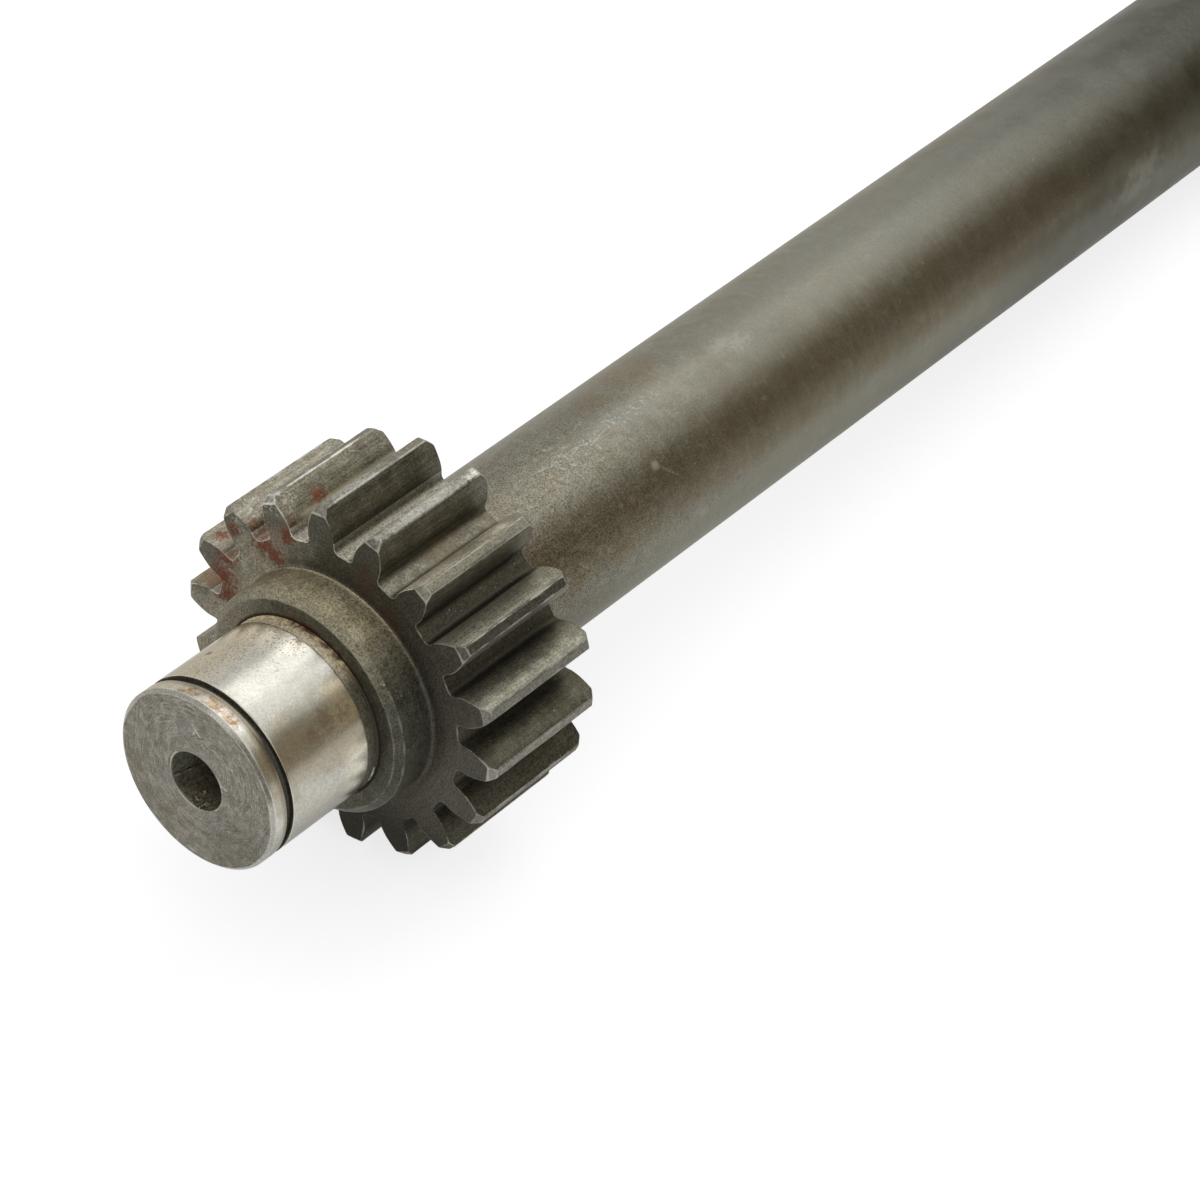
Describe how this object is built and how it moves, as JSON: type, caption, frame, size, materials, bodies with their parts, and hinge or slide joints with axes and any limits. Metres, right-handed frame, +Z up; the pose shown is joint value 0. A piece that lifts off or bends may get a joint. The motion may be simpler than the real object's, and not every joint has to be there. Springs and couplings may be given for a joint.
{
  "type": "power take-off stub shaft",
  "caption": "Drive shaft with a spur pinion cut on it, a collar, and a ground bearing journal with a retaining-ring groove and a drilled end.",
  "frame": {"origin": "centre of the bearing journal's end face, on the shaft axis", "axes": "+X along the shaft axis from the journal end towards the plain end, +Z up with one tooth space straight up and one straight down"},
  "size_m": [0.38, 0.071, 0.0702],
  "materials": {
    "steel": "heat-treated grey steel, ground bright on the bearing journal"
  },
  "bodies": {
    "root": {"pto_stub_shaft": "steel"}
  },
  "joints": []
}
